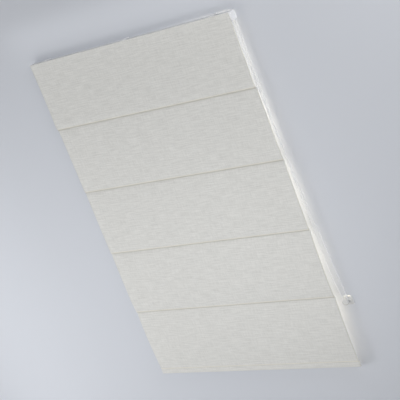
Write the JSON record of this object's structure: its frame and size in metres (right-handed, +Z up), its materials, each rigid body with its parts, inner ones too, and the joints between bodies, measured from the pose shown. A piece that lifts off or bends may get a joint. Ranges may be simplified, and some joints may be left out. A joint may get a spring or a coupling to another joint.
{
  "type": "roman blind",
  "caption": "Flat Roman blind in cream cloth, lowered, with a slim white headrail and a side chain drive held by a clear wall tensioner.",
  "frame": {"origin": "midpoint of the centre bracket's two screw holes, on the wall plane", "axes": "+X along the headrail towards the chain control, -Y into the room, +Z up"},
  "size_m": [1.0505, 0.0638, 1.4693],
  "materials": {
    "cloth": "cream linen weave",
    "lining": "plain white lining",
    "tape": "white hook and loop tape",
    "rail": "white powder coat",
    "white_plastic": "moulded white",
    "nylon": "natural nylon",
    "zinc_steel": "zinc plated",
    "spring_steel": "oiled",
    "bar_aluminium": "mill finish",
    "rod_fibreglass": "drawn rod",
    "cord": "braided white",
    "chain": "moulded white beads on a cord",
    "clear_plastic": "clear moulding",
    "screw": "nickel plated"
  },
  "bodies": {
    "headrail_frame": {"headrail": "rail", "hook_tape": "tape", "loop_tape": "tape", "left_end_cap": "white_plastic", "control_housing": "white_plastic", "control_cover": "white_plastic", "brake_spring": "spring_steel", "brake_core": "nylon", "fabric_panel_1": "cloth", "lining_panel_1": "lining", "bead_chain": "chain", "chain_joiner": "chain", "chain_tensioner": "clear_plastic", "tensioner_screw": "screw", "spool_cradle_1": "nylon", "wall_bracket_1": "rail", "lift_cord_1": "cord", "spool_cradle_2": "nylon", "wall_bracket_2": "rail", "lift_cord_2": "cord", "spool_cradle_3": "nylon", "wall_bracket_3": "rail", "lift_cord_3": "cord"},
    "bottom_bar_body": {"bottom_hem": "cloth", "bottom_bar": "bar_aluminium", "bar_end_caps": "white_plastic", "cord_adjusters": "white_plastic"},
    "fold_1": {"fold_rod_1": "rod_fibreglass", "rod_pocket_1": "cloth", "rod_tips_1": "white_plastic", "cord_guides_1": "white_plastic", "fabric_panel_2": "cloth", "lining_panel_2": "lining"},
    "fold_2": {"fold_rod_2": "rod_fibreglass", "rod_pocket_2": "cloth", "rod_tips_2": "white_plastic", "cord_guides_2": "white_plastic", "fabric_panel_3": "cloth", "lining_panel_3": "lining"},
    "fold_3": {"fold_rod_3": "rod_fibreglass", "rod_pocket_3": "cloth", "rod_tips_3": "white_plastic", "cord_guides_3": "white_plastic", "fabric_panel_4": "cloth", "lining_panel_4": "lining"},
    "fold_4": {"fold_rod_4": "rod_fibreglass", "rod_pocket_4": "cloth", "rod_tips_4": "white_plastic", "cord_guides_4": "white_plastic", "fabric_panel_5": "cloth", "lining_panel_5": "lining"},
    "chain_drive": {"drive_shaft": "zinc_steel", "sprocket": "nylon", "spool_1": "nylon", "spool_2": "nylon", "spool_3": "nylon"},
    "cam_1": {"bracket_cam_1": "white_plastic"},
    "cam_2": {"bracket_cam_2": "white_plastic"},
    "cam_3": {"bracket_cam_3": "white_plastic"}
  },
  "joints": [
    {"name": "lift", "type": "slide", "parent": "headrail_frame", "child": "bottom_bar_body", "axis": [0, 0.0119, 0.9999], "range_m": [0, 1.21759], "deforming": ["fabric_panel_1", "lining_panel_1", "fabric_panel_2", "lining_panel_2", "fabric_panel_3", "lining_panel_3", "fabric_panel_4", "lining_panel_4", "fabric_panel_5", "lining_panel_5", "lift_cord_1", "lift_cord_2", "lift_cord_3"]},
    {"name": "fold_1_lift", "type": "slide", "parent": "headrail_frame", "child": "fold_1", "axis": [0, 0.0119, 0.9999], "range_m": [0, 0.24402]},
    {"name": "fold_2_lift", "type": "slide", "parent": "headrail_frame", "child": "fold_2", "axis": [0, 0.0119, 0.9999], "range_m": [0, 0.48753]},
    {"name": "fold_3_lift", "type": "slide", "parent": "headrail_frame", "child": "fold_3", "axis": [0, 0.0119, 0.9999], "range_m": [0, 0.73105]},
    {"name": "fold_4_lift", "type": "slide", "parent": "headrail_frame", "child": "fold_4", "axis": [0, 0.0119, 0.9999], "range_m": [0, 0.97457]},
    {"name": "drive_turn", "type": "hinge", "parent": "headrail_frame", "child": "chain_drive", "pos_m": [0, -0.0165, -0.004], "axis": [1, 0, 0], "range_deg": [0, 9307]},
    {"name": "cam_1_turn", "type": "hinge", "parent": "headrail_frame", "child": "cam_1", "pos_m": [-0.42, -0.0165, 0.014], "axis": [0, 0, 1], "range_deg": [-90, 0]},
    {"name": "cam_2_turn", "type": "hinge", "parent": "headrail_frame", "child": "cam_2", "pos_m": [0, -0.0165, 0.014], "axis": [0, 0, 1], "range_deg": [-90, 0]},
    {"name": "cam_3_turn", "type": "hinge", "parent": "headrail_frame", "child": "cam_3", "pos_m": [0.42, -0.0165, 0.014], "axis": [0, 0, 1], "range_deg": [-90, 0]}
  ],
  "couplings": [
    {"joint": "fold_1_lift", "follows": "lift", "ratio": 0.2},
    {"joint": "fold_2_lift", "follows": "lift", "ratio": 0.4},
    {"joint": "fold_3_lift", "follows": "lift", "ratio": 0.6},
    {"joint": "fold_4_lift", "follows": "lift", "ratio": 0.8},
    {"joint": "drive_turn", "follows": "lift", "rad_per_m": 133.33}
  ]
}
